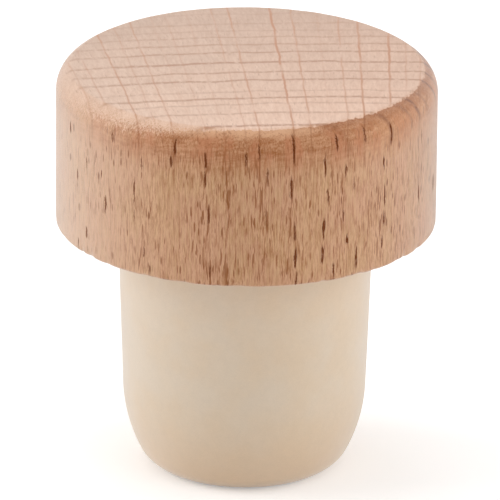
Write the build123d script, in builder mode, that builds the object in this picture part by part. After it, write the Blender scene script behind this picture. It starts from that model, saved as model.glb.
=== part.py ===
from build123d import *
import os
from math import cos, radians, sin, tan

# Bar-top bottle stopper: a turned wooden cap glued on a moulded stopper plug.
# Lengths are in millimetres and angles in degrees. +Z is up, and the origin is the
# centre of the plug's flat foot, on which the stopper stands.

# Wooden cap, turned from one block with its fibres upright
cap_diameter = 30.0
cap_height = 12.7
crown_inset = 1.12  # the rounded top edge starts this far in from the wall
crown_drop = 1.88  # and meets the wall this far below the flat top
rim_radius = 0.25

# Plug below the cap, one moulding that narrows towards its foot
plug_length = 20.25
shoulder_diameter = 20.2
shoulder_edge_radius = 0.3
draft_angle = 1.85  # slope of the wall against the axis
flank_radius = 12.0  # slow curve between the wall and the toe
toe_angle = 27.4  # slope of the flank where the toe takes over
toe_radius = 2.4

# Glued joint: the plug's spigot in a blind socket in the cap's underside
spigot_diameter = 12.0
spigot_length = 6.0
spigot_lead = 0.6
glue_clearance = 0.1  # all round the spigot
glue_end_gap = 0.4  # between the spigot's end and the socket's floor
socket_mouth_chamfer = 0.6
groove_count = 2
groove_width = 0.8
groove_depth = 0.4

cap_radius = cap_diameter / 2
cap_base = plug_length
cap_top = cap_base + cap_height
shoulder_radius = shoulder_diameter / 2
spigot_radius = spigot_diameter / 2
socket_radius = spigot_radius + glue_clearance
socket_depth = spigot_length + glue_end_gap

# The flank and the toe end level with the foot, so their rise sets where the wall ends.
toe_rise = toe_radius * (1 - sin(radians(toe_angle)))
flank_rise = flank_radius * (sin(radians(toe_angle)) - sin(radians(draft_angle)))
wall_foot_height = toe_rise + flank_rise
wall_foot_radius = shoulder_radius - (plug_length - wall_foot_height) * tan(radians(draft_angle))
foot_radius = (
    wall_foot_radius
    - flank_radius * (cos(radians(draft_angle)) - cos(radians(toe_angle)))
    - toe_radius * cos(radians(toe_angle))
)

# The glue grooves share out the spigot's straight length evenly.
groove_pitch = (spigot_length - spigot_lead) / (groove_count + 1)

os.makedirs("parts", exist_ok=True)

with BuildPart() as stopper_plug:
    with BuildSketch(Plane.XZ):
        with BuildLine():
            wall = Line((shoulder_radius, plug_length), (wall_foot_radius, wall_foot_height))
            flank = JernArc(wall @ 1, wall % 1, flank_radius, draft_angle - toe_angle)
            toe = JernArc(flank @ 1, flank % 1, toe_radius, toe_angle - 90)
            Polyline(toe @ 1, (0, 0), (0, plug_length), wall @ 0)
        make_face()
    revolve(axis=Axis.Z)
    shoulder_face = stopper_plug.faces().sort_by(Axis.Z)[-1]
    fillet(shoulder_face.edges(), shoulder_edge_radius)

    with BuildSketch(Plane.XY.offset(plug_length)):
        Circle(spigot_radius)
    extrude(amount=spigot_length)
    spigot_end = stopper_plug.faces().sort_by(Axis.Z)[-1]
    chamfer(spigot_end.edges(), spigot_lead)

    groove_spots = [
        (spigot_radius, plug_length + groove_pitch * (i + 1)) for i in range(groove_count)
    ]
    with BuildSketch(Plane.XZ):
        with Locations(*groove_spots):
            Rectangle(2 * groove_depth, groove_width)
    revolve(axis=Axis.Z, mode=Mode.SUBTRACT)

with BuildPart() as wooden_cap:
    with BuildSketch(Plane.XZ):
        with BuildLine():
            side = Line((cap_radius, cap_base), (cap_radius, cap_top - crown_drop))
            crown = TangentArc(side @ 1, (cap_radius - crown_inset, cap_top), tangent=side % 1)
            Polyline(crown @ 1, (0, cap_top), (0, cap_base), side @ 0)
        make_face()
    revolve(axis=Axis.Z)
    underside = wooden_cap.faces().sort_by(Axis.Z)[0]
    fillet(underside.edges(), rim_radius)

    with BuildSketch(Plane.XY.offset(cap_base)):
        Circle(socket_radius)
    extrude(amount=socket_depth, mode=Mode.SUBTRACT)
    base_circles = wooden_cap.edges().filter_by(GeomType.CIRCLE).group_by(Axis.Z)[0]
    chamfer(base_circles.sort_by(SortBy.RADIUS)[0], socket_mouth_chamfer)

stopper_plug.part.label = "stopper_plug"
wooden_cap.part.label = "wooden_cap"
export_step(stopper_plug.part, "parts/stopper_plug.step")
export_step(wooden_cap.part, "parts/wooden_cap.step")

print("stands", round(cap_top, 2), "mm high on a foot of diameter", round(2 * foot_radius, 2))
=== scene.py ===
"""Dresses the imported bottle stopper: a turned wooden cap glued on a moulded plug.

The file is laid out as an add-on and is run as a script. Meshes are in metres, in the
frame's own coordinates. The wood's grain is reckoned in millimetres.
"""

import math
from collections import namedtuple

import bpy
import numpy as np
from bpy.props import FloatProperty, FloatVectorProperty, IntProperty, PointerProperty
from mathutils import Matrix, Vector


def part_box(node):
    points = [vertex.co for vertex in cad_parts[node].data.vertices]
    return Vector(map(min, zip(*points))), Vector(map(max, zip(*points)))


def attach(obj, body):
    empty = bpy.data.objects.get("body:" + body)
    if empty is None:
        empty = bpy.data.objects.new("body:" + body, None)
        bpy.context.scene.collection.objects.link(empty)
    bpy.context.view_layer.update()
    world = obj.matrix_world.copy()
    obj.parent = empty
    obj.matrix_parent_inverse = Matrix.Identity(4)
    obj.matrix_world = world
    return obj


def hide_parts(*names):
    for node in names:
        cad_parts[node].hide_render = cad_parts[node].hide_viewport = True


bl_info = {
    "name": "Turned Bottle Stopper",
    "version": (1, 0, 0),
    "blender": (4, 5, 0),
    "location": "3D View > Sidebar > Stopper",
    "description": "Builds a wooden bottle stopper with solid grain and a moulded plug",
    "category": "Add Mesh",
}

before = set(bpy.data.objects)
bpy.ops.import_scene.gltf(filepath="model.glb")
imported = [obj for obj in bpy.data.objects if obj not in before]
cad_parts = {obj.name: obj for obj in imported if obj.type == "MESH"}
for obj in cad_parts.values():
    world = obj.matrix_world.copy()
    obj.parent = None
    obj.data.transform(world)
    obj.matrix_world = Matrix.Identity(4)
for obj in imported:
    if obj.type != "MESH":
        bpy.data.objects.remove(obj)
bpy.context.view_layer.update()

MM = 0.001
TAU = 2 * math.pi
WHITE = (1.0, 1.0, 1.0)

# A place in the stem that the cap was cut from, as signals in millimetres
Stem = namedtuple("Stem", "distance way height")

# Places that come from the frame, in metres
CAP_LOW, CAP_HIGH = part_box("wooden_cap")
PLUG_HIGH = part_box("stopper_plug")[1]
CAP_RADIUS = CAP_HIGH.x
CAP_BASE = CAP_LOW.z
CAP_TOP = CAP_HIGH.z
SPIGOT_TOP = PLUG_HIGH.z

# How finely the two surfaces are divided
ROUND_STEPS = 720
SMOOTH_ANGLE = math.radians(28)
# Stretches of the cap's half-section that get closer rows, in metres: on the flats beside
# the rounded edges, and up the wall where the rim is chipped
FINE_MARGIN = 0.6 * MM
CHIPPED_HEIGHT = 0.9 * MM

# The wood's grain, in millimetres. The block was cut off the pith, whose line runs
# parallel to the cap's axis through the point PITH, at about PITH_REACH from it.
PITH_REACH = 118.0
PITH = (11.0, -PITH_REACH)
# How far the rings and the rays wander from their true places
RING_SWAY = 0.22
RAY_LEAN = 0.09
# Edges of the growth rings: distance from the pith, and how dark the late wood is
GROWTH_RINGS = (
    (105.4, 1.0),
    (108.2, 0.62),
    (110.2, 0.5),
    (111.5, 0.85),
    (113.05, 0.45),
    (115.5, 0.85),
    (117.3, 0.75),
    (119.5, 1.0),
    (121.8, 0.75),
    (123.6, 0.65),
    (125.3, 0.55),
    (126.8, 0.42),
    (128.4, 0.45),
    (130.7, 0.35),
    (132.3, 0.3),
)
RING_HALF_WIDTH = 0.36
# Wide rays on the flat top: offset along the ring, and how dark each one is
TOP_RAYS = (
    (-24.5, 0.4),
    (-23.4, 0.45),
    (-21.35, 0.6),
    (-19.95, 0.35),
    (-18.65, 0.5),
    (-17.0, 0.25),
    (-15.9, 0.3),
    (-14.35, 0.25),
    (-12.5, 0.4),
    (-11.3, 0.6),
    (-8.3, 0.95),
    (-6.8, 0.6),
    (-5.0, 0.25),
    (-3.5, 0.5),
    (-2.08, 0.9),
    (0.15, 1.0),
    (1.45, 0.4),
    (2.55, 0.5),
)
RAY_HALF_WIDTH = 0.15
# Rays that come out on the wall as dark upright flecks: degrees round the cap from its
# front, height of the middle, half its length, and how dark each one is
WALL_FLECKS = (
    (-66.0, 30.1, 0.7, 0.7),
    (-61.2, 26.6, 0.6, 0.5),
    (-60.4, 20.9, 0.6, 0.6),
    (-55.8, 28.0, 0.7, 0.6),
    (-55.8, 22.2, 0.6, 0.9),
    (-48.4, 27.6, 0.5, 0.5),
    (-46.6, 25.2, 1.0, 0.7),
    (-43.6, 31.1, 0.7, 0.6),
    (-35.2, 27.1, 1.4, 0.6),
    (-35.3, 25.1, 0.7, 0.4),
    (-32.5, 29.6, 0.8, 0.5),
    (-31.6, 22.3, 0.6, 0.5),
    (-29.6, 20.9, 0.6, 0.5),
    (-22.7, 30.2, 0.6, 0.7),
    (-21.4, 31.4, 0.8, 0.95),
    (-12.0, 30.6, 0.9, 0.7),
    (-12.2, 29.0, 0.9, 0.7),
    (-10.9, 26.2, 1.0, 0.8),
    (-10.3, 21.4, 0.7, 0.45),
    (0.0, 30.8, 0.8, 0.6),
    (3.8, 31.4, 0.8, 0.75),
    (6.4, 29.4, 0.9, 0.5),
    (6.0, 25.9, 1.0, 0.55),
    (14.2, 31.4, 1.5, 1.0),
    (13.6, 28.4, 1.2, 0.75),
    (14.6, 24.8, 1.0, 0.9),
    (15.1, 22.6, 1.1, 0.95),
    (15.3, 20.8, 0.8, 0.9),
    (24.2, 29.9, 1.1, 0.85),
    (25.1, 27.4, 0.8, 0.6),
    (23.8, 24.7, 1.1, 0.85),
    (23.4, 22.6, 1.0, 0.9),
    (28.0, 31.6, 0.9, 0.95),
    (27.2, 21.0, 1.0, 0.85),
    (31.0, 29.2, 0.7, 0.7),
    (30.2, 25.5, 0.8, 0.6),
    (31.8, 23.5, 0.6, 0.75),
    (34.0, 28.0, 0.8, 0.35),
    (35.0, 21.8, 1.2, 0.85),
    (38.0, 31.8, 0.8, 0.65),
    (48.6, 31.2, 1.1, 1.0),
    (45.4, 29.0, 0.8, 0.75),
    (46.0, 26.3, 1.1, 0.85),
    (45.8, 24.4, 0.8, 0.7),
    (45.0, 22.5, 0.7, 0.75),
    (65.6, 29.6, 0.8, 0.45),
    (64.0, 24.9, 1.1, 0.6),
    (71.2, 26.8, 0.7, 0.4),
)
# Flecks and pores that are strewn through the block: the room each one has along the
# ring, up and outwards, its half width and its half height
LARGE_STREWN = ((1.9, 3.0, 4.0), 0.13, 0.95)
SMALL_STREWN = ((0.5, 1.3, 1.8), 0.075, 0.45)
PORES = ((0.3, 0.75, 1.1), 0.055, 0.3)
# WALL_FLECKS ends between these degrees from the front, and the large strewn ones take over
LISTED_TURN = (66.0, 80.0)
# A listed fleck's half width in degrees, and how deep its colour is: for the faintest one,
# and what is added for the darkest. The steepness is how sharply it rises from its edge.
FLECK_WIDTH, FLECK_WIDTH_ADDED = 0.2, 0.25
FLECK_DEPTH, FLECK_DEPTH_ADDED = 0.35, 0.75
FLECK_STEEPNESS = 2.5
# How thin a strewn fleck is outwards, against its room
STREWN_THINNESS = 2.8
# Fine threads of the wall: the room each one has along the ring, up and outwards
THREAD_ROOM = (1 / 5.5, 1 / 0.95, 1 / 2.6)

# Bands at the cap's upper edge, in millimetres below the flat top: where each one begins
# and where it is full
CROWN_BAND = (4.2, 1.6)
CURL_BAND = (2.4, 0.9)
SCORCH_BAND = (1.3, 0.3)
# LIP_BAND is where the crown is painted lighter on the front and left, as light where it turns up
# to the lamps
LIP_BAND = (0.85, 0.15)
EDGE_BAND = (0.25, 0.02)
# Millimetres above the underside between which its end grain gives way to the wall
UNDERSIDE_BAND = (0.02, 0.10)
# Stretches of the cap, in millimetres to the left or the right of its axis: where each one begins
# and where it is full. The flat top drifts down over the crown on the left, partly as the wood's
# own colour and partly as painted sheen from the left lamps.
DRIFT_STRETCH = (0.5, 11.0)
LEFT_STRETCH = (5.0, 15.0)
RIGHT_STRETCH = (2.0, 8.0)
FAR_RIGHT_STRETCH = (7.5, 12.0)
WHOLE_STRETCH = (-14.0, 16.0)
# The darker middle of the wall ends between these degrees from the front
MIDDLE_TURN = (3.0, 16.0)

# Tones that the grain mixes into the cap's main colours, and the range of the signal that
# runs from the dark threads to the light ones
TONE_RANGE = (-0.25, 1.25)
SIDE_ROSY = (0.58, 0.29, 0.20)
SIDE_TAN = (0.63, 0.40, 0.205)
# The wall's left is mixed towards this paler tone: painted sheen and light from the left lamps
SIDE_PAINTED_SHEEN = (0.72, 0.52, 0.38)
DASH_BROWN = (0.24, 0.07, 0.01)
SMALL_FLECK = (0.22, 0.06, 0.006)
CROWN_LIGHT = (0.68, 0.378, 0.215)
CROWN_RUDDY = (0.50, 0.185, 0.085)
CROWN_ORANGE = (0.62, 0.27, 0.09)
CROWN_SCORCHED = (0.38, 0.12, 0.025)
CROWN_RING = (0.17, 0.035, 0.003)
RAY_ON_CROWN = (0.26, 0.07, 0.01)
END_RIGHT = (0.67, 0.44, 0.325)
END_RING = (0.45, 0.235, 0.145)
END_PORE = (0.45, 0.26, 0.17)
END_RAY = (0.52, 0.24, 0.13)
# What the dense and the loose tissue of the end grain make of its colour, as factors
END_DENSE = (0.91, 0.865, 0.83)
END_LOOSE = (1.09, 1.135, 1.17)

# Constant sockets of the shaders
WOOD_GLOSS = {
    "Sheen Roughness": 0.5,
    "Specular IOR Level": 0.2,
    "Specular Tint": (1.0, 0.5, 0.15),
}
PLUG_GLOSS = {"Sheen Weight": 0.6, "Sheen Roughness": 0.5, "Specular IOR Level": 0.3}

# The floor's ring, in metres; the opening is a little wider than the plug's foot
FLOOR_STEPS = 96
FLOOR_OPENING = 6.5 * MM
FLOOR_RADIUS = 3.0

# The floor's own glow for the camera, near the stopper and added far from it, and how far
# out that begins and is full, in metres
FLOOR_GLOW = 0.3
FLOOR_GLOW_ADDED = 0.26
FLOOR_FADE = (0.08, 0.6)

# Spots on the rim where fibres have chipped away: how many, the seed of their draw, and
# the ranges of their depth, as a share of the deepest before squaring, and of their width
# and their tail upwards, in metres
RIM_CHIPS = 90
RIM_CHIP_SEED = 11
CHIP_DEPTHS = (0.2, 1.0)
CHIP_WIDTHS = (0.2 * MM, 0.6 * MM)
CHIP_TAILS = (0.15 * MM, 0.5 * MM)

# Unevenness of the surfaces: its depth in metres and what waves() needs. The cap's grows
# between two shares of its radius, so that the underside and the socket are true.
TURNING_DEPTH = 0.012 * MM
TURNING_WAVES = {"seed": 3, "lobes": 9, "pitch": 20 * MM, "count": 9}
SANDING_DEPTH = 0.06 * MM
SANDING_REACH = 0.7 * MM
SANDING_WAVES = {"seed": 5, "lobes": 60, "pitch": 20 * MM, "count": 24}
OUTSIDE_FROM, OUTSIDE_FULL = 0.85, 0.90
SINK_DEPTH = 0.025 * MM
SINK_FREE_HEIGHT = 3 * MM
SINK_WAVES = {"seed": 8, "lobes": 5, "pitch": 14 * MM, "count": 9}

# The camera looks at the stopper's axis at this height, moved right and up in the picture
AIM_HEIGHT = 17.65 * MM
AIM_OFFSET = (0.36 * MM, -0.10 * MM)
SENSOR_WIDTH = 36.0
CLIP_RANGE = (0.01, 20.0)

# Lamps: name, place and width in metres, and watts
LAMPS = (
    ("left_softbox", (-0.55, 0.02, 0.22), 0.42, 1.8),
    ("right_softbox", (0.55, 0.05, 0.20), 0.42, 0.97),
    ("front_softbox", (0.45, -0.35, 0.25), 0.35, 0.68),
    ("top_softbox", (-0.08, 0.1, 0.6), 0.4, 0.8),
)


def length_setting(name, description, default):
    """A setting that is a length of zero or more, in metres."""
    return FloatProperty(
        name=name, description=description, default=default, min=0.0, unit="LENGTH"
    )


def angle_setting(name, description, degrees):
    """A setting that is an angle."""
    default = math.radians(degrees)
    return FloatProperty(name=name, description=description, default=default, unit="ROTATION")


def colour_setting(name, description, default):
    """A setting that is a linear colour."""
    return FloatVectorProperty(
        name=name, description=description, default=default, min=0.0, max=1.0, subtype="COLOR"
    )


class CapSettings(bpy.types.PropertyGroup):
    """Sizes and main colours of the wooden cap"""

    crown_inset: length_setting(
        "Crown inset", "How far the rounded top edge reaches in from the wall", 1.12 * MM
    )
    crown_drop: length_setting(
        "Crown drop", "How far the rounded top edge reaches down from the flat top", 1.88 * MM
    )
    rim_radius: length_setting("Rim radius", "Rounding of the lower edge", 0.25 * MM)
    socket_radius: length_setting(
        "Socket radius", "Radius of the blind socket that holds the plug's spigot", 6.1 * MM
    )
    socket_depth: length_setting("Socket depth", "Depth of the blind socket", 6.4 * MM)
    mouth_chamfer: length_setting("Mouth chamfer", "Chamfer at the mouth of the socket", 0.6 * MM)
    chip_depth: length_setting(
        "Chip depth", "Depth of the deepest chip in the lower edge", 0.19 * MM
    )
    side_colour: colour_setting(
        "Side colour", "Light threads of the long grain on the wall", (0.68, 0.395, 0.235)
    )
    dark_colour: colour_setting(
        "Dark side colour", "Dark threads of the long grain on the wall", (0.37, 0.155, 0.06)
    )
    end_colour: colour_setting(
        "End grain colour", "Sanded end grain on the flat top", (0.67, 0.463, 0.35)
    )
    crown_colour: colour_setting(
        "Crown colour", "Dark tone of the burnished crown", (0.34, 0.11, 0.03)
    )
    fleck_colour: colour_setting(
        "Fleck colour", "Rays where they come out on the wall", (0.145, 0.033, 0.006)
    )


class PlugSettings(bpy.types.PropertyGroup):
    """Sizes and colours of the moulded plug"""

    shoulder_radius: length_setting(
        "Shoulder radius", "Radius where the wall would meet the cap", 10.1 * MM
    )
    shoulder_edge: length_setting("Shoulder edge", "Rounding of the shoulder's edge", 0.3 * MM)
    draft: angle_setting("Draft", "Slope of the wall against the axis", 1.85)
    flank_radius: length_setting(
        "Flank radius", "Slow curve between the wall and the toe", 12.0 * MM
    )
    toe_slope: angle_setting("Toe slope", "Slope of the flank where the toe starts", 27.4)
    toe_radius: length_setting("Toe radius", "Rounding into the flat foot", 2.4 * MM)
    spigot_radius: length_setting("Spigot radius", "Radius of the hidden spigot", 6.0 * MM)
    spigot_lead: length_setting("Spigot lead", "Chamfer at the spigot's end", 0.6 * MM)
    groove_count: IntProperty(
        name="Groove count", description="Glue grooves round the spigot", default=2, min=0
    )
    groove_width: length_setting("Groove width", "Width of a glue groove", 0.8 * MM)
    groove_depth: length_setting("Groove depth", "Depth of a glue groove", 0.4 * MM)
    skin_colour: colour_setting("Skin colour", "Moulded skin of the plug", (0.685, 0.54, 0.39))
    cloud_colour: colour_setting("Cloud colour", "Faint clouds in the skin", (0.68, 0.562, 0.435))
    toe_colour: colour_setting("Toe colour", "Warmer skin near the foot", (0.66, 0.45, 0.27))


class StageSettings(bpy.types.PropertyGroup):
    """Camera, lamps and floor"""

    camera_distance: length_setting("Camera distance", "From the camera to its aim", 0.706)
    camera_elevation: angle_setting(
        "Camera elevation", "Height of the camera's line of sight above the level", 21.33
    )
    camera_roll: angle_setting("Camera roll", "Turn of the camera about its line of sight", 0.54)
    camera_lens: FloatProperty(
        name="Camera lens",
        description="Focal length in millimetres on a 36 mm sensor",
        default=643.4,
        min=1.0,
    )
    floor_colour: colour_setting("Floor colour", "Pale floor under the stopper", (0.9, 0.9, 0.9))
    surround_level: FloatProperty(
        name="Surround level",
        description="Strength of the even light from all round",
        default=0.53,
        min=0.0,
    )


class Signal:
    """One output of a material's nodes. Arithmetic on numbers adds Math nodes."""

    def __init__(self, graph, socket):
        self.graph = graph
        self.socket = socket

    def __add__(self, other):
        return self.graph.math("ADD", self, other)

    def __radd__(self, other):
        return self.graph.math("ADD", other, self)

    def __sub__(self, other):
        return self.graph.math("SUBTRACT", self, other)

    def __rsub__(self, other):
        return self.graph.math("SUBTRACT", other, self)

    def __mul__(self, other):
        return self.graph.math("MULTIPLY", self, other)

    def __rmul__(self, other):
        return self.graph.math("MULTIPLY", other, self)

    def __truediv__(self, other):
        return self.graph.math("DIVIDE", self, other)

    def __rtruediv__(self, other):
        return self.graph.math("DIVIDE", other, self)

    def __pow__(self, other):
        return self.graph.math("POWER", self, other)

    def __rpow__(self, other):
        return self.graph.math("POWER", other, self)

    def __neg__(self):
        return self.graph.math("MULTIPLY", self, -1)

    def __abs__(self):
        return self.graph.math("ABSOLUTE", self)

    def most(self, other):
        """The larger of the two."""
        return self.graph.math("MAXIMUM", self, other)

    def least(self, other):
        """The smaller of the two."""
        return self.graph.math("MINIMUM", self, other)

    def step(self, low, high):
        """Rises smoothly from 0 at low to 1 at high."""
        limits = {"From Min": low, "From Max": high}
        settings = {"interpolation_type": "SMOOTHSTEP"}
        return self.graph.node("ShaderNodeMapRange", settings, {"Value": self, **limits})["Result"]


class Graph:
    """The nodes of one material or of the world."""

    def __init__(self, tree):
        self.tree = tree
        tree.nodes.clear()

    def node(self, kind, settings=None, sockets=None):
        """Adds a node, sets its settings, then its sockets, and gives its outputs by name."""
        node = self.tree.nodes.new(kind)
        for name, value in (settings or {}).items():
            setattr(node, name, value)
        live = [socket for socket in node.inputs if socket.enabled]
        by_name = {socket.name: socket for socket in reversed(live)}
        for key, value in (sockets or {}).items():
            socket = live[key] if isinstance(key, int) else by_name[key]
            if isinstance(value, Signal):
                self.tree.links.new(value.socket, socket)
            elif socket.type == "RGBA":
                socket.default_value = (*value, 1.0)
            else:
                socket.default_value = value
        return {out.name: Signal(self, out) for out in node.outputs if out.enabled}

    def math(self, operation, *values):
        sockets = dict(enumerate(values))
        return self.node("ShaderNodeMath", {"operation": operation}, sockets)["Value"]

    def vector(self, operation, *values, result="Vector"):
        sockets = dict(enumerate(values))
        return self.node("ShaderNodeVectorMath", {"operation": operation}, sockets)[result]

    def combine(self, x, y, z):
        return self.node("ShaderNodeCombineXYZ", None, {"X": x, "Y": y, "Z": z})["Vector"]

    def axes(self, vector):
        """The three parts of a vector, by the names X, Y and Z."""
        return self.node("ShaderNodeSeparateXYZ", None, {"Vector": vector})

    def times(self, vector, factor):
        """A vector or a colour times a number."""
        sockets = {0: vector, "Scale": factor}
        return self.node("ShaderNodeVectorMath", {"operation": "SCALE"}, sockets)["Vector"]

    def mix(self, factor, first, second):
        """A colour between the first and the second."""
        sockets = {"Factor": factor, "A": first, "B": second}
        return self.node("ShaderNodeMix", {"data_type": "RGBA"}, sockets)["Result"]

    def mix_shaders(self, factor, first, second):
        """A shader between the first and the second."""
        sockets = {0: factor, 1: first, 2: second}
        return self.node("ShaderNodeMixShader", None, sockets)["Shader"]

    def object_place(self):
        """The point on the piece in its own coordinates."""
        return self.node("ShaderNodeTexCoord")["Object"]

    def noise(self, vector, scale=1.0, detail=2.0, roughness=0.5):
        """Noise about zero, mostly within 0.6 of it."""
        sockets = {"Vector": vector, "Scale": scale, "Detail": detail, "Roughness": roughness}
        return self.node("ShaderNodeTexNoise", {"normalize": False}, sockets)["Fac"]


def new_material(name):
    """A material with its graph, emptied."""
    material = bpy.data.materials.new(name)
    material.use_nodes = True
    return material, Graph(material.node_tree)


def bump(graph, height):
    """The normal of a surface whose relief is height, in metres."""
    return graph.node("ShaderNodeBump", None, {"Distance": 1.0, "Height": height})["Normal"]


def skin(graph, colour, roughness, normal, fixed):
    """A shader with its varying sockets linked and its constants set."""
    sockets = {"Base Color": colour, "Roughness": roughness, "Normal": normal, **fixed}
    return graph.node("ShaderNodeBsdfPrincipled", None, sockets)["BSDF"]


def stem_place(graph, axes):
    """Where a point lies in the stem: distance from the pith, way round it, and height.

    The way round is the angle about the pith times the pith's reach, so it is a length.
    Both wander a little, as growth does.
    """
    across = axes["X"] - PITH[0]
    outward = axes["Y"] - PITH[1]
    distance = (across * across + outward * outward) ** 0.5
    way = graph.math("ARCTAN2", across, outward) * PITH_REACH
    true_place = Stem(distance, way, axes["Z"])
    sway = stem_noise(graph, true_place, (0.35, 0.05, 0.3))
    lean = stem_noise(graph, true_place, (0.3, 0.16, 0.45))
    return Stem(distance + sway * RING_SWAY, way + lean * RAY_LEAN, axes["Z"])


def stem_noise(graph, stem, paces, roughness=0.5):
    """Noise in the stem's directions. The paces are along the ring, up and outwards."""
    along, up, outwards = paces
    place = graph.combine(stem.way * along, stem.height * up, stem.distance * outwards)
    return graph.noise(place, detail=3.0, roughness=roughness)


def upright_noise(graph, point, pace, **noise):
    """Noise that is drawn out along the height, where it has this share of its pace."""
    return graph.noise(graph.vector("MULTIPLY", point, (1.0, 1.0, pace)), **noise)


def thin_lines(place, lines, half_width):
    """The darkest of the listed lines at a place: each fades to nothing over half_width."""
    darkest = 0.0
    for middle, darkness in lines:
        strength = 1 - abs(place - middle) / half_width
        darkest = (strength * darkness).most(darkest)
    return darkest


def ring_lines(graph, stem):
    """Late wood: a soft line at each ring's edge, broken up along its length."""
    lines = thin_lines(stem.distance, GROWTH_RINGS, RING_HALF_WIDTH)
    breaks = stem_noise(graph, stem, (2.2, 0.3, 1.5))
    return lines.step(0.0, 0.9) * (0.75 + breaks * 0.7).step(0.0, 0.9)


def top_rays(graph, stem):
    """Wide rays as the flat top cuts them: thin lines outwards from the pith that fade
    in and out."""
    lines = thin_lines(stem.way, TOP_RAYS, RAY_HALF_WIDTH)
    fade = stem_noise(graph, stem, (1.1, 0.3, 0.25))
    return lines.step(0.0, 0.8) * (0.75 + fade * 0.8).step(0.0, 0.9)


def wall_flecks(graph, turn, height, fray, fibres):
    """The listed rays on the wall: each is a steep cone over an upright ellipse, cut off
    at how deep its colour is, and the darker ones are wider."""
    place = graph.combine(turn + fray * 0.35 + fibres * 0.3, height, 0.0)
    flecks = 0.0
    for angle, middle, half_height, darkness in WALL_FLECKS:
        half_width = FLECK_WIDTH + FLECK_WIDTH_ADDED * darkness
        scale = (1 / half_width, 1 / half_height, 0.0)
        shift = (-angle / half_width, -middle / half_height, 0.0)
        reach = graph.vector("MULTIPLY_ADD", place, scale, shift)
        lens = 1 - graph.vector("LENGTH", reach, result="Value")
        depth = min(FLECK_DEPTH + FLECK_DEPTH_ADDED * darkness, 1.0)
        flecks = (lens * (FLECK_STEEPNESS * depth)).least(depth).most(flecks)
    return (flecks + fibres * 0.25).step(0.05, 1.0)


def stem_cells(graph, stem, room):
    """Cells that each fill a room along the ring, up and outwards: the place in them, the
    place of the feature point of the nearest one, and a chance number for it."""
    place = graph.combine(stem.way / room[0], stem.height / room[1], stem.distance / room[2])
    cell = graph.node("ShaderNodeTexVoronoi", None, {"Vector": place, "Scale": 1.0})
    chance = graph.node("ShaderNodeSeparateColor", None, {"Color": cell["Color"]})["Red"]
    return place, cell["Position"], chance


def strewn_flecks(graph, stem, kind):
    """Rays strewn through the block: a lens round the feature point of each cell."""
    room, half_width, half_height = kind
    place, middle, chance = stem_cells(graph, stem, room)
    scale = (room[0] / half_width, room[1] / half_height, STREWN_THINNESS)
    apart = graph.vector("MULTIPLY", graph.vector("SUBTRACT", place, middle), scale)
    lens = 1 - graph.vector("LENGTH", apart, result="Value")
    return lens.step(0.0, 0.5) * chance.step(0.2, 0.95)


class Grain:
    """The patterns of the wood at a point of the cap, as signals."""

    def __init__(self, graph, point, axes, turn):
        stem = stem_place(graph, axes)
        height = axes["Z"]
        self.distance = stem.distance

        # Threads run upright: fine across, drawn out along the height.
        self.fibres = upright_noise(graph, point, 0.075, scale=9.5, detail=3.0, roughness=0.85)
        self.vessels = upright_noise(graph, point, 0.12, scale=6.0, detail=1.0)
        self.fray = upright_noise(graph, point, 0.4, scale=3.0, detail=3.0)
        self.bands = upright_noise(graph, point, 0.1, scale=0.6, detail=3.0)
        self.clouds = graph.noise(point, scale=0.25)
        self.threads = stem_cells(graph, stem, THREAD_ROOM)[2] - 0.5
        self.fine_rays = stem_noise(graph, stem, (4.5, 0.8, 0.9), roughness=0.6)

        # Fine slanting lines, which show where the crown cuts the fibres at an angle
        slant = stem._replace(height=height - stem.way * 0.125 + self.fray * 0.125)
        self.hatch = stem_noise(graph, slant, (0.5, 4.0, 0.8), roughness=0.6)

        self.rings = ring_lines(graph, stem)
        self.rays = top_rays(graph, stem)

        # Where the wall lies along the rays, they come out flat and pale.
        beyond = abs(turn).step(*LISTED_TURN)
        along = beyond * (1 - abs(axes["Y"]) * (MM / CAP_RADIUS))
        edge_on = 1 - along * 0.75
        large = strewn_flecks(graph, stem, LARGE_STREWN) * beyond * edge_on
        listed = wall_flecks(graph, turn, height, self.fray, self.fibres)
        self.flecks = listed.most(large)
        self.small = strewn_flecks(graph, stem, SMALL_STREWN) * edge_on
        self.pores = strewn_flecks(graph, stem, PORES)


class Zones:
    """Where a point lies on the cap, as signals from 0 to 1."""

    def __init__(self, axes, turn, grain):
        height = axes["Z"]
        top = CAP_TOP / MM
        base = CAP_BASE / MM

        def band(begins, full):
            """Rises between two depths below the flat top."""
            return height.step(top - begins, top - full)

        self.crown = band(*CROWN_BAND)
        self.lip = band(*LIP_BAND)
        self.scorch = band(*SCORCH_BAND)
        self.curl = band(*CURL_BAND)
        self.edge = 1 - band(*EDGE_BAND)
        self.left = (-axes["X"]).step(*LEFT_STRETCH)
        self.right = axes["X"].step(*RIGHT_STRETCH)
        self.far_right = axes["X"].step(*FAR_RIGHT_STRETCH)
        self.across = axes["X"].step(*WHOLE_STRETCH)
        self.middle = 1 - abs(turn).step(*MIDDLE_TURN)
        self.under = 1 - height.step(base + UNDERSIDE_BAND[0], base + UNDERSIDE_BAND[1])

        # The sanded flat ends in a frayed line, and on the left it runs down over the crown:
        # partly the wood's own colour, partly painted sheen from the left lamps.
        drift = (-axes["X"]).step(*DRIFT_STRETCH)
        reach_down = 0.1 + grain.fray * 0.08 + drift * 1.25 + grain.fibres * drift * 0.7
        self.flat = ((height - top + reach_down) / (0.03 + drift * 1.2)).step(0.0, 1.0)


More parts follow.
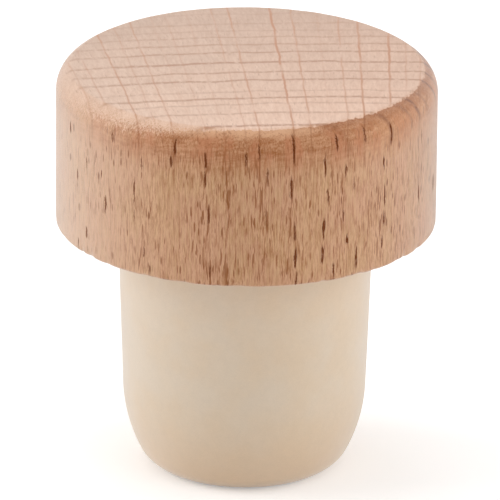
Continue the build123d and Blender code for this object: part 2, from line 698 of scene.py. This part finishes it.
def crown_colour(graph, cap, grain, zone, tone):
    """Burnished wood of the crown: scorched on the right, where the rings curl over it. Its upper
    band is painted lighter on the front and left, as light where it turns up towards the lamps,
    and darker on the right.
    """
    # Painted light: the upper band (lip) is lightened on the front and left, where the crown turns
    # up to the lamps, and darkened on the right
    level = tone + zone.lip * (0.7 - zone.right * 0.98) - zone.crown * 0.15
    colour = graph.mix(level.step(*TONE_RANGE), cap.crown_colour[:], CROWN_LIGHT)
    ruddy = (grain.bands + grain.fray * 0.3).step(-0.1, 0.4) * (1 - zone.lip)
    colour = graph.mix(ruddy * 0.6, colour, CROWN_RUDDY)
    colour = graph.mix(zone.far_right * (1 - zone.lip * 0.5) * 0.3, colour, CROWN_ORANGE)
    scorched = (grain.fray * 0.9 + 0.2 + zone.far_right * 0.35).step(0.0, 1.0)
    colour = graph.mix(scorched * zone.right * zone.scorch * 0.62, colour, CROWN_SCORCHED)
    curls = zone.far_right * zone.curl
    return graph.mix(grain.rings * (0.15 + curls * 0.85), colour, CROWN_RING)


def side_colour(graph, cap, grain, zone):
    """Long grain of the wall and the crown: threads between two tones, soft patches, and dark
    dashes where vessels and small rays are cut. The left is painted paler, as sheen and light from
    the left lamps."""
    tone = 0.58 + grain.fibres * (0.82 + zone.left * 0.2 - zone.crown * 0.45)
    tone = tone + grain.threads * (0.3 - zone.crown * 0.18) + grain.bands * 0.07
    tone = tone + grain.clouds * 0.1 + grain.hatch * zone.crown * 0.35
    tone = tone - grain.rings * 0.12 - zone.middle * 0.15
    colour = graph.mix(tone.step(*TONE_RANGE), cap.dark_colour[:], cap.side_colour[:])
    rosy = (grain.clouds * 1.5 + 0.5).step(0.0, 1.0)
    colour = graph.mix(rosy * 0.25, colour, SIDE_ROSY)
    tan = (0.3 - grain.bands * 0.6 - grain.vessels * 0.9).step(0.0, 0.9)
    colour = graph.mix(tan * 0.36, colour, SIDE_TAN)
    # Painted sheen: the wall is mixed paler on the left, where the left lamps fall
    colour = graph.mix(zone.left * 0.42, colour, SIDE_PAINTED_SHEEN)

    burnished = crown_colour(graph, cap, grain, zone, tone)
    # On the left the crown is less burnished and keeps the wall's paler colour: partly the wood's
    # own colour, partly painted sheen from the left lamps
    colour = graph.mix(zone.crown * (0.95 - zone.left * 0.7), colour, burnished)

    dashes = (grain.vessels + grain.bands * 0.35 + zone.middle * 0.13).step(0.42, 0.64)
    dashes = dashes * (0.74 - zone.crown * 0.34 - zone.left * 0.25)
    colour = graph.mix(dashes, colour, DASH_BROWN)
    colour = graph.mix(grain.small * (0.86 - zone.crown * 0.4), colour, SMALL_FLECK)
    return graph.mix(grain.rays * zone.crown * 0.6, colour, RAY_ON_CROWN)


def end_colour(graph, cap, grain, zone):
    """Sanded end grain of the flat top: a fine mottle, ring and ray lines, and pores, with painted
    shade that darkens it towards the back.
    """
    colour = graph.mix(zone.across, cap.end_colour[:], END_RIGHT)
    dense = graph.vector("MULTIPLY", colour, END_DENSE)
    loose = graph.vector("MULTIPLY", colour, END_LOOSE)
    mottle = 0.5 + grain.fibres * 0.28 + grain.threads * 0.2 + grain.fine_rays * 0.5
    colour = graph.mix(mottle.step(-0.3, 1.3), dense, loose)
    # Painted shade: the end grain darkens away from the pith, towards the back, for the light
    # falling off across the top
    level = 2.2 + grain.clouds * 0.05 - grain.distance * (1.2 / PITH_REACH)
    colour = graph.times(colour, level)
    rings = grain.rings * (0.95 - zone.edge * 0.5 - zone.left * 0.35)
    colour = graph.mix(rings, colour, END_RING)
    colour = graph.mix(grain.pores * 0.5, colour, END_PORE)
    return graph.mix(grain.rays * (1 - zone.edge * 0.4), colour, END_RAY)


def wood_material(cap):
    """Solid beech-like wood: rings, rays and fibres run on from the top to the wall."""
    material, graph = new_material("turned_beech")
    point = graph.times(graph.object_place(), 1 / MM)
    axes = graph.axes(point)
    turn = graph.math("ARCTAN2", axes["X"], -axes["Y"]) * math.degrees(1)
    grain = Grain(graph, point, axes, turn)
    zone = Zones(axes, turn, grain)
    side = side_colour(graph, cap, grain, zone)
    end = end_colour(graph, cap, grain, zone)

    roughness = 0.52 + grain.fibres * 0.06 + grain.flecks * 0.15
    relief = grain.fibres * 0.006 - grain.flecks * 0.01 - grain.small * 0.006
    normal = bump(graph, relief * (1 - zone.flat * 0.7) * MM)
    wall = skin(graph, side, roughness, normal, {"Sheen Weight": 0.72, **WOOD_GLOSS})
    face = skin(graph, end, roughness, normal, {"Sheen Weight": 0.3, **WOOD_GLOSS})
    mark = skin(graph, cap.fleck_colour[:], roughness, normal, {"Specular IOR Level": 0.1})
    wall = graph.mix_shaders(grain.flecks * 0.97, wall, mark)
    wood = graph.mix_shaders(zone.flat.most(zone.under), wall, face)
    graph.node("ShaderNodeOutputMaterial", None, {"Surface": wood})
    return material


def plug_material(plug):
    """Satin skin of a foamed moulding: faint clouds, a fine orange-peel and a soft sheen. The
    clouds gather on the left, as painted light from the left lamps.
    """
    material, graph = new_material("moulded_foam_skin")
    point = graph.times(graph.object_place(), 1 / MM)
    axes = graph.axes(point)
    clouds = graph.noise(point, scale=0.35, detail=3.0)
    mottle = graph.noise(point, scale=1.6)
    cells = graph.noise(point, scale=9.0, detail=3.0, roughness=0.6)
    # The paler cloud colour gathers towards the left: real clouds, plus painted light from the
    # left lamps
    clouds_and_left_light = (clouds * 0.5 + 0.5 - axes["X"] * 0.03).step(0.0, 1.0)
    toe = 1 - axes["Z"].step(-1.0, 9.0)
    colour = graph.mix(clouds_and_left_light, plug.skin_colour[:], plug.cloud_colour[:])
    colour = graph.mix(toe * 0.7, colour, plug.toe_colour[:])
    colour = graph.times(colour, 1 + mottle * 0.02 + cells * 0.03)
    roughness = 0.46 + mottle * 0.03
    normal = bump(graph, (cells * 0.001 + mottle * 0.003) * MM)
    surface = skin(graph, colour, roughness, normal, PLUG_GLOSS)
    graph.node("ShaderNodeOutputMaterial", None, {"Surface": surface})
    return material


def line(start, end, step):
    """Points from start towards end, a step or less apart, with the end left out."""
    count = max(1, math.ceil(math.dist(start, end) / step))
    return np.linspace(start, end, count, endpoint=False)


def arc(centre, radius, first, last, count):
    """Points of a circle about centre between two angles, with the last left out."""
    angle = np.linspace(first, last, count, endpoint=False)
    return np.stack(
        [centre[0] + radius * np.cos(angle), centre[1] + radius * np.sin(angle)], axis=1
    )


def waves(angle, height, seed, lobes, pitch, count):
    """Seeded unevenness between -1 and 1: the mean of count cosines, each of a whole number
    of turns round the piece, fewer than lobes, plus a climb up it. A climb is drawn from a
    bell curve, and pitch is its wave's length at one standard deviation."""
    draw = np.random.default_rng(seed)
    turns = draw.integers(1, lobes, count)[:, None, None]
    climbs = draw.normal(0, TAU / pitch, count)[:, None, None]
    starts = draw.uniform(0, TAU, count)[:, None, None]
    return np.cos(turns * angle + climbs * height + starts).mean(axis=0)


def revolved(name, profile, relief):
    """A closed mesh turned about Z from a profile of (radius, height) rows.

    Row i at angle a lies at (r cos a, r sin a, h), where relief(a, r, h) gives the r and
    h that the surface really has there. The first and the last row are single points on
    the axis, and each is joined to its neighbour by a ring of triangles.
    """
    angle = np.linspace(0, TAU, ROUND_STEPS, endpoint=False)[None, :]
    rows = profile[1:-1]
    radius, height = relief(angle, rows[:, :1], rows[:, 1:])
    ring = np.stack([radius * np.cos(angle), radius * np.sin(angle), height], axis=-1)
    poles = np.array([[0, 0, profile[0, 1]], [0, 0, profile[-1, 1]]])
    points = np.concatenate([ring.reshape(-1, 3), poles])

    index = np.arange(len(rows) * ROUND_STEPS).reshape(len(rows), ROUND_STEPS)
    after = np.roll(index, -1, axis=1)
    walls = np.stack([index[:-1], after[:-1], after[1:], index[1:]], axis=-1).reshape(-1, 4)
    low, high = len(points) - 2, len(points) - 1
    bottom = np.stack([np.full(ROUND_STEPS, low), after[0], index[0]], axis=-1)
    lid = np.stack([index[-1], after[-1], np.full(ROUND_STEPS, high)], axis=-1)

    mesh = bpy.data.meshes.new(name)
    mesh.from_pydata(points.tolist(), [], [*walls.tolist(), *bottom.tolist(), *lid.tolist()])
    mesh.shade_smooth()
    mesh.set_sharp_from_angle(angle=SMOOTH_ANGLE)
    mesh.validate()
    piece = bpy.data.objects.new(name, mesh)
    bpy.context.scene.collection.objects.link(piece)
    return piece


def cap_profile(cap):
    """Half-section of the cap, from the socket's floor round the wall to the top's centre.

    The last value in each line() is how far apart its rows are, in arc() it is their number.
    """
    socket_floor = CAP_BASE + cap.socket_depth
    crown_radius = (cap.crown_inset**2 + cap.crown_drop**2) / (2 * cap.crown_inset)
    crown_centre = (CAP_RADIUS - crown_radius, CAP_TOP - cap.crown_drop)
    crown_end = math.asin(cap.crown_drop / crown_radius)
    flat_radius = CAP_RADIUS - cap.crown_inset
    rim_centre = (CAP_RADIUS - cap.rim_radius, CAP_BASE + cap.rim_radius)
    socket_corner = (cap.socket_radius, socket_floor)
    mouth = (cap.socket_radius, CAP_BASE + cap.mouth_chamfer)
    lip = (cap.socket_radius + cap.mouth_chamfer, CAP_BASE)
    near_rim = (rim_centre[0] - FINE_MARGIN, CAP_BASE)
    rim_start = (rim_centre[0], CAP_BASE)
    wall_start = (CAP_RADIUS, rim_centre[1])
    low_wall = (CAP_RADIUS, rim_centre[1] + CHIPPED_HEIGHT)
    wall_end = (CAP_RADIUS, crown_centre[1])
    near_crown = (flat_radius - FINE_MARGIN, CAP_TOP)
    return np.concatenate(
        [
            line((0.0, socket_floor), socket_corner, 3 * MM),
            line(socket_corner, mouth, 3 * MM),
            line(mouth, lip, 0.5 * MM),
            line(lip, near_rim, 2 * MM),
            line(near_rim, rim_start, 0.15 * MM),
            arc(rim_centre, cap.rim_radius, -TAU / 4, 0.0, 6),
            line(wall_start, low_wall, 0.1 * MM),
            line(low_wall, wall_end, 0.3 * MM),
            arc(crown_centre, crown_radius, 0.0, crown_end, 22),
            line((flat_radius, CAP_TOP), near_crown, 0.15 * MM),
            line(near_crown, (0.0, CAP_TOP), 1.5 * MM),
            [(0.0, CAP_TOP)],
        ]
    )


def cap_relief(cap):
    """How the turned surface strays inwards from the true profile.

    The wall and the crown have shallow waves, the crown's upper end wanders where it was
    sanded flat, and the rim has chips: each is a bell curve round the rim that dies
    away above it.
    """
    draw = np.random.default_rng(RIM_CHIP_SEED)
    places = draw.uniform(0, TAU, RIM_CHIPS)
    depths = draw.uniform(*CHIP_DEPTHS, RIM_CHIPS) ** 2 * cap.chip_depth
    widths = draw.uniform(*CHIP_WIDTHS, RIM_CHIPS) / CAP_RADIUS
    tails = draw.uniform(*CHIP_TAILS, RIM_CHIPS)

    def stray(angle, radius, height):
        share = radius / CAP_RADIUS
        outside = np.clip((share - OUTSIDE_FROM) / (OUTSIDE_FULL - OUTSIDE_FROM), 0, 1)
        inward = (1 + waves(angle, height, **TURNING_WAVES)) * TURNING_DEPTH * outside
        near_top = np.clip(1 - (CAP_TOP - height) / SANDING_REACH, 0, 1) ** 2
        sanding = (1 + waves(angle, 0 * height, **SANDING_WAVES)) * SANDING_DEPTH
        inward = inward + sanding * near_top * outside
        above = height - CAP_BASE
        for place, depth, width, tail in zip(places, depths, widths, tails):
            turn = np.angle(np.exp(1j * (angle - place)))
            inward = inward + depth * np.exp(-((turn / width) ** 2) - above / tail) * outside
        return radius - inward, height + 0 * inward

    return stray


def spigot_side(plug, top):
    """Corners up the spigot's side from the shoulder, with grooves evenly spaced below top."""
    radius = plug.spigot_radius
    floor = radius - plug.groove_depth
    pitch = (top - CAP_BASE) / (plug.groove_count + 1)
    corners = [(radius, CAP_BASE)]
    for number in range(1, plug.groove_count + 1):
        low = CAP_BASE + pitch * number - plug.groove_width / 2
        high = low + plug.groove_width
        corners += [(radius, low), (floor, low), (floor, high), (radius, high)]
    return corners


def plug_profile(plug):
    """Half-section of the plug: foot, toe, flank, wall, shoulder and grooved spigot."""
    toe_angle, draft = plug.toe_slope, plug.draft
    rise = plug.toe_radius * (1 - math.sin(toe_angle))
    wall_foot = rise + plug.flank_radius * (math.sin(toe_angle) - math.sin(draft))
    wall_foot_radius = plug.shoulder_radius - (CAP_BASE - wall_foot) * math.tan(draft)
    flank_centre = (
        wall_foot_radius - plug.flank_radius * math.cos(draft),
        wall_foot + plug.flank_radius * math.sin(draft),
    )
    toe_centre = (
        flank_centre[0] + (plug.flank_radius - plug.toe_radius) * math.cos(toe_angle),
        plug.toe_radius,
    )
    edge = plug.shoulder_edge
    edge_height = CAP_BASE - edge * (1 + math.sin(draft))
    edge_radius = plug.shoulder_radius - (CAP_BASE - edge_height) * math.tan(draft)
    edge_centre = (edge_radius - edge * math.cos(draft), CAP_BASE - edge)
    spigot_foot = (plug.spigot_radius, CAP_BASE)
    spigot_corner = (plug.spigot_radius, SPIGOT_TOP - plug.spigot_lead)
    spigot_end = (plug.spigot_radius - plug.spigot_lead, SPIGOT_TOP)
    return np.concatenate(
        [
            line((0.0, 0.0), (toe_centre[0], 0.0), 0.8 * MM),
            arc(toe_centre, plug.toe_radius, -TAU / 4, -toe_angle, 18),
            arc(flank_centre, plug.flank_radius, -toe_angle, -draft, 22),
            line((wall_foot_radius, wall_foot), (edge_radius, edge_height), 0.4 * MM),
            arc(edge_centre, edge, -draft, TAU / 4, 8),
            line((edge_centre[0], CAP_BASE), spigot_foot, 2 * MM),
            spigot_side(plug, spigot_corner[1]),
            line(spigot_corner, spigot_end, 0.6 * MM),
            line(spigot_end, (0.0, SPIGOT_TOP), 3 * MM),
            [(0.0, SPIGOT_TOP)],
        ]
    )


def plug_relief(plug):
    """Slight sink marks of a foamed moulding: slow waves inwards, none at the foot."""

    def stray(angle, radius, height):
        clear = np.clip(height / SINK_FREE_HEIGHT, 0, 1) * (height < CAP_BASE)
        inward = (1 + waves(angle, height, **SINK_WAVES)) * SINK_DEPTH * clear
        return radius - inward, height + 0 * inward

    return stray


def dress(piece, material, node):
    """Gives a finished piece its material and its place in the frame."""
    piece.data.materials.append(material)
    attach(piece, "root")
    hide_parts(node)


def softbox(name, place, size, watts):
    """A square area lamp that faces the stopper's middle."""
    lamp = bpy.data.lights.new(name, "AREA")
    lamp.shape = "SQUARE"
    lamp.size = size
    lamp.energy = watts
    holder = bpy.data.objects.new(name, lamp)
    middle = Vector((0.0, 0.0, CAP_TOP / 2))
    holder.location = place
    holder.rotation_euler = (middle - Vector(place)).to_track_quat("-Z", "Y").to_euler()
    bpy.context.scene.collection.objects.link(holder)


def seen_directly(graph):
    """1 for what the camera sees, also by a reflection or through clear matter, or else 0."""
    rays = graph.node("ShaderNodeLightPath")
    return rays["Is Camera Ray"].most(rays["Is Glossy Ray"]).most(rays["Is Transmission Ray"])


def floor_material(stage):
    """White floor that keeps the stopper's shadow, pales into the white surround far from
    it, and is clear from below."""
    material, graph = new_material("pale_floor")
    paint = graph.node("ShaderNodeBsdfDiffuse", None, {"Color": stage.floor_colour[:]})["BSDF"]
    far = graph.vector("LENGTH", graph.object_place(), result="Value").step(*FLOOR_FADE)
    level = seen_directly(graph) * (FLOOR_GLOW + far * FLOOR_GLOW_ADDED)
    glow = graph.node("ShaderNodeEmission", None, {"Color": WHITE, "Strength": level})["Emission"]
    both = graph.node("ShaderNodeAddShader", None, {0: paint, 1: glow})["Shader"]
    clear = graph.node("ShaderNodeBsdfTransparent")["BSDF"]
    back = graph.node("ShaderNodeNewGeometry")["Backfacing"]
    surface = graph.mix_shaders(back, both, clear)
    graph.node("ShaderNodeOutputMaterial", None, {"Surface": surface})
    return material


def lay_floor(stage):
    """A round floor with an opening a little wider than the foot, so that light from below
    reaches the foot."""
    angle = np.linspace(0, TAU, FLOOR_STEPS, endpoint=False)
    circle = np.stack([np.cos(angle), np.sin(angle), 0 * angle], axis=1)
    points = np.concatenate([circle * FLOOR_OPENING, circle * FLOOR_RADIUS])
    inner = np.arange(FLOOR_STEPS)
    after = np.roll(inner, -1)
    faces = np.stack([inner, inner + FLOOR_STEPS, after + FLOOR_STEPS, after], axis=1)
    mesh = bpy.data.meshes.new("floor")
    mesh.from_pydata(points.tolist(), [], faces.tolist())
    mesh.materials.append(floor_material(stage))
    floor = bpy.data.objects.new("floor", mesh)
    bpy.context.scene.collection.objects.link(floor)


def surround(stage):
    """White all round for the camera and for reflections, dimmer as a light."""
    world = bpy.data.worlds.new("white_surround")
    world.use_nodes = True
    graph = Graph(world.node_tree)
    level = stage.surround_level + seen_directly(graph) * (1 - stage.surround_level)
    sky = graph.node("ShaderNodeBackground", None, {"Color": WHITE, "Strength": level})
    graph.node("ShaderNodeOutputWorld", None, {"Surface": sky["Background"]})
    bpy.context.scene.world = world


def set_camera(stage):
    """Places the camera on the front, above the level, with a slight roll.

    The aim is the point that the middle of the picture shows: the stopper's axis at the
    height AIM_HEIGHT, moved by AIM_OFFSET to the right and up in the picture's plane.
    """
    tilt, roll = stage.camera_elevation, stage.camera_roll
    back = Vector((0.0, -math.cos(tilt), math.sin(tilt)))
    level_right = Vector((1.0, 0.0, 0.0))
    level_up = Vector((0.0, math.sin(tilt), math.cos(tilt)))
    right = level_right * math.cos(roll) + level_up * math.sin(roll)
    up = level_up * math.cos(roll) - level_right * math.sin(roll)
    aim = Vector((0.0, 0.0, AIM_HEIGHT)) + right * AIM_OFFSET[0] + up * AIM_OFFSET[1]
    place = aim + back * stage.camera_distance
    lens = bpy.data.cameras.new("camera")
    lens.sensor_width = SENSOR_WIDTH
    lens.lens = stage.camera_lens
    lens.clip_start, lens.clip_end = CLIP_RANGE
    camera = bpy.data.objects.new("camera", lens)
    camera.matrix_world = Matrix(
        [
            (right.x, up.x, back.x, place.x),
            (right.y, up.y, back.y, place.y),
            (right.z, up.z, back.z, place.z),
            (0.0, 0.0, 0.0, 1.0),
        ]
    )
    bpy.context.scene.collection.objects.link(camera)
    bpy.context.scene.camera = camera


class STOPPER_OT_cap(bpy.types.Operator):
    """Builds the turned wooden cap"""

    bl_idname = "stopper.cap"
    bl_label = "Wooden Cap"

    def execute(self, context):
        cap = context.scene.stopper_cap
        piece = revolved("turned_cap", cap_profile(cap), cap_relief(cap))
        dress(piece, wood_material(cap), "wooden_cap")
        return {"FINISHED"}


class STOPPER_OT_plug(bpy.types.Operator):
    """Builds the moulded plug"""

    bl_idname = "stopper.plug"
    bl_label = "Moulded Plug"

    def execute(self, context):
        plug = context.scene.stopper_plug
        piece = revolved("moulded_plug", plug_profile(plug), plug_relief(plug))
        dress(piece, plug_material(plug), "stopper_plug")
        return {"FINISHED"}


class STOPPER_OT_stage(bpy.types.Operator):
    """Sets the floor, the lamps, the surround and the camera"""

    bl_idname = "stopper.stage"
    bl_label = "Studio Stage"

    def execute(self, context):
        stage = context.scene.stopper_stage
        lay_floor(stage)
        surround(stage)
        for lamp in LAMPS:
            softbox(*lamp)
        set_camera(stage)
        context.scene.view_settings.view_transform = "Standard"
        return {"FINISHED"}


class VIEW3D_PT_stopper(bpy.types.Panel):
    """Sidebar panel with a button for each piece"""

    bl_label = "Bottle Stopper"
    bl_idname = "VIEW3D_PT_stopper"
    bl_space_type = "VIEW_3D"
    bl_region_type = "UI"
    bl_category = "Stopper"

    def draw(self, context):
        for operator in OPERATORS:
            self.layout.operator(operator.bl_idname)


OPERATORS = (STOPPER_OT_cap, STOPPER_OT_plug, STOPPER_OT_stage)
SETTINGS = {
    "stopper_cap": CapSettings,
    "stopper_plug": PlugSettings,
    "stopper_stage": StageSettings,
}
CLASSES = (*SETTINGS.values(), *OPERATORS, VIEW3D_PT_stopper)


def register():
    for cls in CLASSES:
        bpy.utils.register_class(cls)
    for name, group in SETTINGS.items():
        setattr(bpy.types.Scene, name, PointerProperty(type=group))


def unregister():
    for name in SETTINGS:
        delattr(bpy.types.Scene, name)
    for cls in reversed(CLASSES):
        bpy.utils.unregister_class(cls)


def main():
    register()
    bpy.ops.stopper.cap()
    bpy.ops.stopper.plug()
    bpy.ops.stopper.stage()


if __name__ == "__main__":
    main()
